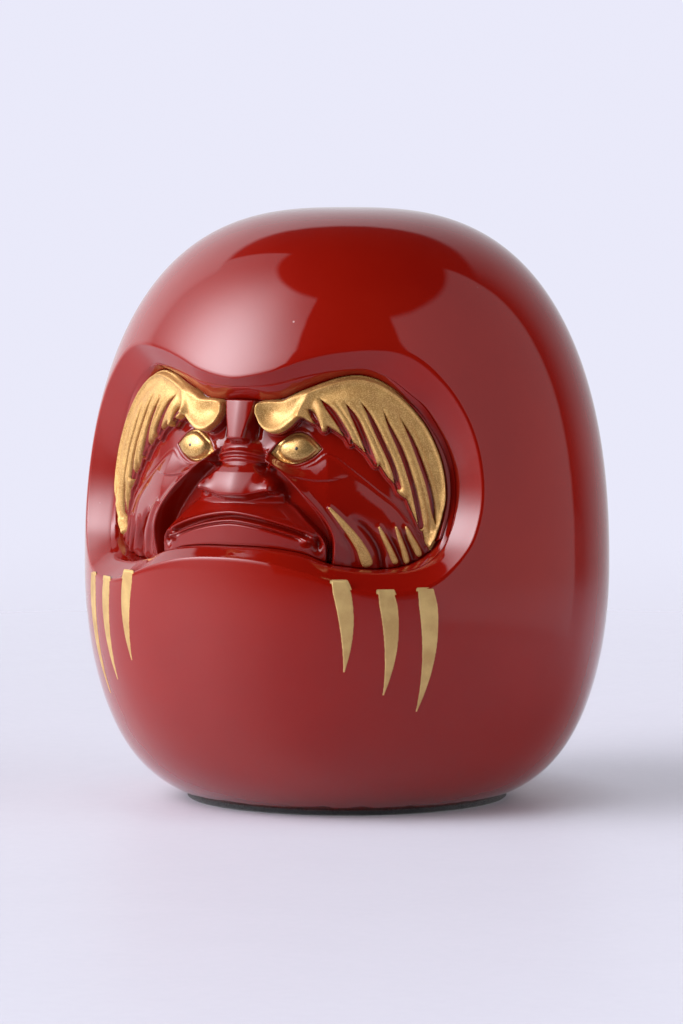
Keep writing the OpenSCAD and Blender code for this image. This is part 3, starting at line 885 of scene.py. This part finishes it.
class Shader(Nodes):
    """A material, with what every finish here uses."""

    def __init__(self, name):
        self.material = bpy.data.materials.new(name)
        self.material.use_nodes = True
        super().__init__(self.material.node_tree)
        self.surface = self.tree.nodes["Principled BSDF"]
        self.coords = self.tree.nodes.new("ShaderNodeTexCoord").outputs["Object"]

    def set(self, **values):
        for name, value in values.items():
            self.surface.inputs[name.replace("_", " ")].default_value = value

    def noise(self, scale, detail=3.0, roughness=0.5):
        values = {"Vector": self.coords, "Scale": scale, "Detail": detail, "Roughness": roughness}
        return self.node("ShaderNodeTexNoise", values).outputs["Fac"]

    def specks(self, scale, size, share):
        """1 on small dots that a share of the cells hold."""
        cells = self.node("ShaderNodeTexVoronoi", {"Vector": self.coords, "Scale": scale})
        near = self.band(cells.outputs["Distance"], size, size * 0.6)
        split = self.node("ShaderNodeSeparateColor", {"Color": cells.outputs["Color"]})
        chosen = self.band(split.outputs["Red"], share, share * 0.98)
        return self.math("MULTIPLY", near, chosen)

    def mix(self, factor, a, b):
        made = self.tree.nodes.new("ShaderNodeMix")
        made.data_type = "RGBA"
        self.tree.links.new(factor, made.inputs["Factor"])
        for socket, colour in ((made.inputs[6], a), (made.inputs[7], b)):
            if isinstance(colour, bpy.types.NodeSocket):
                self.tree.links.new(colour, socket)
            else:
                socket.default_value = (*colour, 1)
        return made.outputs[2]

    def colour(self, socket):
        self.tree.links.new(socket, self.surface.inputs["Base Color"])

    def roughness(self, socket):
        self.tree.links.new(socket, self.surface.inputs["Roughness"])

    def bump(self, height, distance, strength=1.0, coat=False):
        links = {"Height": height, "Distance": distance, "Strength": strength}
        made = self.node("ShaderNodeBump", links)
        self.tree.links.new(made.outputs["Normal"], self.surface.inputs["Normal"])
        if coat:
            self.tree.links.new(made.outputs["Normal"], self.surface.inputs["Coat Normal"])


def red_lacquer(name, deep, bright, dust):
    s = Shader(name)
    s.set(Roughness=0.34, Coat_Weight=1.0, Coat_Roughness=0.03, Coat_IOR=1.5, Specular_IOR_Level=0.02)
    tone = s.band(s.noise(38, 4), 0.36, 0.66)
    base = s.mix(tone, deep, bright)
    s.colour(s.mix(s.math("MULTIPLY", s.specks(420, 0.10, dust), 0.3), base, (0.75, 0.62, 0.60)))
    s.roughness(s.band(s.noise(160, 3), 0.3, 0.7, 0.30, 0.40))
    s.bump(s.noise(170, 2, 0.4), 0.00006, 0.35, coat=True)
    return s.material


def gold_powder(name, metallic, rough):
    s = Shader(name)
    s.set(Metallic=metallic, Specular_IOR_Level=0.5, Coat_Weight=0.3, Coat_Roughness=0.3)
    grain = s.noise(5200, 2, 0.6)
    cloud = s.noise(420, 4, 0.6)
    base = s.mix(s.band(cloud, 0.35, 0.68), (0.41, 0.200, 0.052), (0.56, 0.315, 0.096))
    # The pale grain is partly the powder's own grain and partly painted glints of flakes catching the
    # light.
    s.colour(s.mix(s.band(grain, 0.42, 0.72), base, (0.80, 0.54, 0.22)))
    s.roughness(s.band(grain, 0.3, 0.7, *rough))
    height = s.math("ADD", s.math("MULTIPLY", grain, 0.6), cloud)
    s.bump(height, 0.00009, 0.35)
    return s.material


def gold_paint(name):
    s = Shader(name)
    s.set(Metallic=0.75, Specular_IOR_Level=0.4)
    grain = s.noise(4200, 2, 0.6)
    base = s.mix(s.band(s.noise(300, 4), 0.35, 0.7), (0.52, 0.33, 0.13), (0.66, 0.46, 0.19))
    s.colour(base)
    s.roughness(s.band(grain, 0.3, 0.7, 0.44, 0.58))
    s.bump(grain, 0.00004, 0.5)
    return s.material


def black_paint(name):
    s = Shader(name)
    s.set(Coat_Weight=0.6, Coat_Roughness=0.1)
    s.colour(s.mix(s.noise(2600), (0.012, 0.008, 0.006), (0.03, 0.02, 0.014)))
    s.roughness(s.band(s.noise(3000), 0.3, 0.7, 0.3, 0.5))
    return s.material


def mottled(name, noise, spread, colours, rough, bump, **values):
    """A finish whose colour, roughness and relief all follow one noise."""
    s = Shader(name)
    s.set(**values)
    grain = s.noise(*noise)
    s.colour(s.mix(s.band(grain, *spread), *colours))
    s.roughness(s.band(grain, 0.3, 0.7, *rough))
    s.bump(grain, *bump)
    return s.material


# ---------------------------------------------------------------- camera and studio
VIEW_AZIMUTH, VIEW_ELEVATION = math.radians(28.0), math.radians(4.5)
VIEW_DISTANCE = 1.0
VIEW_HEIGHT = 0.055
VIEW_LENS, VIEW_SENSOR = 188.2, 36
AIM_LEFT, AIM_DOWN = 0.00103, 0.00187
TOWARDS = Vector((math.sin(VIEW_AZIMUTH), -math.cos(VIEW_AZIMUTH), 0))
RIGHT = Vector((math.cos(VIEW_AZIMUTH), math.sin(VIEW_AZIMUTH), 0))


def camera():
    data = bpy.data.cameras.new("camera")
    data.sensor_width = VIEW_SENSOR
    data.lens = VIEW_LENS
    data.clip_start, data.clip_end = 0.05, 50
    made = bpy.data.objects.new("camera", data)
    bpy.context.scene.collection.objects.link(made)
    back = TOWARDS * math.cos(VIEW_ELEVATION) + Vector((0, 0, math.sin(VIEW_ELEVATION)))
    made.rotation_mode = "QUATERNION"
    made.rotation_quaternion = (-back).to_track_quat("-Z", "Y")
    up = made.rotation_quaternion @ Vector((0, 1, 0))
    aim = Vector((0, 0, VIEW_HEIGHT)) - RIGHT * AIM_LEFT - up * AIM_DOWN
    made.location = aim + back * VIEW_DISTANCE
    bpy.context.scene.camera = made
    bpy.context.scene.view_settings.view_transform = "Standard"


class Sky(Nodes):
    """The studio round the object, as brightness by direction. Bearings are in degrees from
    the side that the doll is seen from, positive to the right; heights are above the horizon."""

    def __init__(self):
        world = bpy.data.worlds.new("studio")
        world.use_nodes = True
        bpy.context.scene.world = world
        super().__init__(world.node_tree)
        self.tree.nodes.clear()
        direction = self.tree.nodes.new("ShaderNodeTexCoord").outputs["Generated"]
        forward, sideways = self.dot(direction, TOWARDS), self.dot(direction, RIGHT)
        upward = self.dot(direction, Vector((0, 0, 1)))
        degree = 180 / math.pi
        self.bearing = self.math("MULTIPLY", self.math("ARCTAN2", sideways, forward), degree)
        self.height = self.math("MULTIPLY", self.math("ARCSINE", upward), degree)
        self.turned = self.math("ABSOLUTE", self.bearing)

    def dot(self, socket, vector):
        made = self.node("ShaderNodeVectorMath", {0: socket, 1: vector}, operation="DOT_PRODUCT")
        return made.outputs["Value"]

    def ramp(self, value, low, high):
        """0 at low and 1 at high, eased; low may be above high."""
        return self.band(value, low, high, eased=True)

    def product(self, first, *others):
        for other in others:
            first = self.math("MULTIPLY", first, other)
        return first

    def line(self, value, slope, offset):
        return self.math("ADD", self.math("MULTIPLY", value, slope), offset)

    def panel(self, bearing, height, soft):
        """1 inside a span of bearings and heights."""
        (left, right), (low, high) = bearing, height
        sides = self.product(
            self.ramp(self.bearing, left - soft, left + soft),
            self.ramp(self.bearing, right + soft, right - soft),
        )
        ends = self.product(
            self.ramp(self.height, low - soft, low + soft),
            self.ramp(self.height, high + soft, high - soft),
        )
        return self.product(sides, ends)

    def glow(self, bearing, height, wide, high):
        """A soft bright middle, which fades more slowly below."""
        lower = self.math("MULTIPLY", self.math("LESS_THAN", self.height, height), 0.8)
        high = self.math("MULTIPLY", self.math("ADD", lower, 1.0), high)
        parts = []
        for value, middle, size in ((self.bearing, bearing, wide), (self.height, height, high)):
            off = self.math("DIVIDE", self.math("SUBTRACT", value, middle), size)
            parts.append(self.math("MULTIPLY", off, off))
        return self.math("EXPONENT", self.math("MULTIPLY", self.math("ADD", *parts), -1.0))


def studio():
    sky = Sky()
    softbox = sky.product(
        sky.panel((-137, -30.5), (-8, 66.5), 1.4),
        sky.line(sky.ramp(sky.height, 3, 30), 0.88, 0.12),
        sky.line(sky.glow(-72, 31, 30, 24), 10.2, 0.65),
    )
    right_panel = sky.product(sky.panel((33, 118), (-13, 56), 1.6), sky.line(sky.bearing, -0.0034, 0.86))
    backdrop = sky.product(
        sky.ramp(sky.turned, 114, 134),
        sky.ramp(sky.height, 47, 43),
        sky.line(sky.math("FLOORED_MODULO", sky.bearing, 360), 0.0107, -1.20),
    )
    ground = sky.product(
        sky.ramp(sky.height, 1, -3),
        sky.ramp(sky.turned, 134, 128),
        sky.line(sky.ramp(sky.bearing, -20, -80), 0.95, 0.1),
    )
    level = softbox
    for part in (right_panel, backdrop, ground):
        level = sky.math("MAXIMUM", level, part)
    level = sky.math("ADD", level, 0.01)
    nodes, links = sky.tree.nodes, sky.tree.links
    seen, lit = nodes.new("ShaderNodeBackground"), nodes.new("ShaderNodeBackground")
    seen.inputs["Color"].default_value = (0.82, 0.82, 0.955, 1)
    lit.inputs["Color"].default_value = (1.0, 0.99, 1.06, 1)
    links.new(level, lit.inputs["Strength"])
    path, pick = nodes.new("ShaderNodeLightPath"), nodes.new("ShaderNodeMixShader")
    links.new(path.outputs["Is Camera Ray"], pick.inputs["Fac"])
    links.new(lit.outputs[0], pick.inputs[1])
    links.new(seen.outputs[0], pick.inputs[2])
    links.new(pick.outputs[0], nodes.new("ShaderNodeOutputWorld").inputs["Surface"])


FILL_DISTANCE = 1.2
FILLS = (  # name, bearing, height in degrees, size, power
    ("fill_right", 75, 0, 1.0, 17),
    ("fill_front", -5, 0, 0.8, 2),
    ("fill_left", -68, -6, 0.8, 24),
)


def fill(name, bearing, height, size, power):
    """A large soft light that shows in no reflection."""
    data = bpy.data.lights.new(name, "AREA")
    data.shape = "SQUARE"
    data.size = size
    data.energy = power
    made = bpy.data.objects.new(name, data)
    bpy.context.scene.collection.objects.link(made)
    b, h = math.radians(bearing), math.radians(height)
    way = (TOWARDS * math.cos(b) + RIGHT * math.sin(b)) * math.cos(h) + Vector((0, 0, math.sin(h)))
    made.location = Vector((0, 0, VIEW_HEIGHT)) + way * FILL_DISTANCE
    made.rotation_mode = "QUATERNION"
    made.rotation_quaternion = way.to_track_quat("Z", "Y")
    made.visible_glossy = False
    made.visible_camera = False


# How the floor's sheet fades: whole up to, gone from, share of its cover
# The second, narrow fade makes the sheet wholly opaque round the foot, so the floor is darker there:
# painted shade deepening the contact shadow.
FLOOR_FADES = ((0.10, 0.60, 0.70), (0.034, 0.058, 0.30))


def floor():
    """A pale sheet that fades into the background."""
    bpy.ops.mesh.primitive_circle_add(vertices=96, radius=1.6, fill_type="NGON")
    made = bpy.context.active_object
    made.name = "floor"
    s = Shader("pale_floor")
    s.set(Specular_IOR_Level=0.5)
    s.colour(s.mix(s.noise(60, 3), (0.58, 0.57, 0.64), (0.61, 0.60, 0.67)))
    s.roughness(s.band(s.noise(400), 0.3, 0.7, 0.42, 0.48))
    split = s.node("ShaderNodeSeparateXYZ", {"Vector": s.coords})
    flat = s.node("ShaderNodeCombineXYZ", {"X": split.outputs["X"], "Y": split.outputs["Y"]})
    length = s.node("ShaderNodeVectorMath", {0: flat.outputs["Vector"]}, operation="LENGTH")
    away = length.outputs["Value"]
    cover = 0
    for near, far, share in FLOOR_FADES:
        cover = s.math("ADD", cover, s.band(away, near, far, share, 0.0, eased=True))
    s.tree.links.new(cover, s.surface.inputs["Alpha"])
    made.data.materials.append(s.material)


# ---------------------------------------------------------------- assembly
def place(piece, node, material):
    """Puts a finished piece in the place of a CAD node."""
    piece.data.materials.clear()
    piece.data.materials.append(material)
    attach(piece, "root")
    if node:
        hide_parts(node)


def paint_node(node, material):
    """Gives a material to a CAD node that stays as it is."""
    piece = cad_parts[node]
    if not piece.data.materials:
        piece.data.materials.append(material)
    for slot in piece.material_slots:
        slot.material = material


def base_felt():
    r = FOOT_R - 0.1
    profile = [
        (0, 0), (r - 0.25, 0), (r, 0.2), (r, FELT_T - 0.15), (r - 0.15, FELT_T), (0, FELT_T),
    ]
    return turned("base_felt_pad", profile, 180)


camera()
studio()
for settings in FILLS:
    fill(*settings)
floor()

lacquer = red_lacquer("red_lacquer", (0.148, 0.0026, 0.0008), (0.168, 0.0040, 0.0012), 0.006)
# The face's lacquer is the body's red made darker: painted shade of the face sunk in its pocket.
shaded_face_lacquer = red_lacquer("shaded_face_lacquer", (0.132, 0.0023, 0.0007), (0.150, 0.0036, 0.0011), 0.003)
gilding = gold_powder("gold_powder", 0.78, (0.50, 0.62))
paint, ink = gold_paint("gold_paint"), black_paint("black_paint")
eye_gold = gold_powder("eye_gold", 0.9, (0.30, 0.42))

place(body_shell(), "body_shell", lacquer)
place(face_insert(), "face_insert", shaded_face_lacquer)
for side in ("left", "right"):
    place(brow(side), f"brow_{side}", gilding)
    place(eye(side), f"eye_{side}", eye_gold)
    place(pupil(side), None, ink)
    for number in range(1, 4):
        place(beard_stroke(side, number), f"beard_stroke_{side}_{number}", paint)
for number in range(1, 5):
    place(cheek_strand(number), f"cheek_strand_right_{number}", gilding)
felt = mottled(
    "black_felt", (2600, 6, 0.75), (0.35, 0.7), ((0.006, 0.006, 0.007), (0.035, 0.033, 0.036)),
    (0.85, 0.98), (0.0003, 0.8), Sheen_Weight=0.35, Sheen_Roughness=0.5, Specular_IOR_Level=0.2,
)
place(base_felt(), "base_felt", felt)
board = mottled(
    "base_board", (900, 6, 0.7), (0.35, 0.68), ((0.20, 0.12, 0.06), (0.42, 0.29, 0.17)),
    (0.7, 0.85), (0.0002, 0.6), Specular_IOR_Level=0.3,
)
paint_node("base_plate", board)
iron = mottled(
    "cast_iron", (1400, 5, 0.65), (0.35, 0.7), ((0.05, 0.05, 0.052), (0.16, 0.155, 0.15)),
    (0.5, 0.75), (0.0003, 0.9), Metallic=0.85,
)
paint_node("ballast_weight", iron)
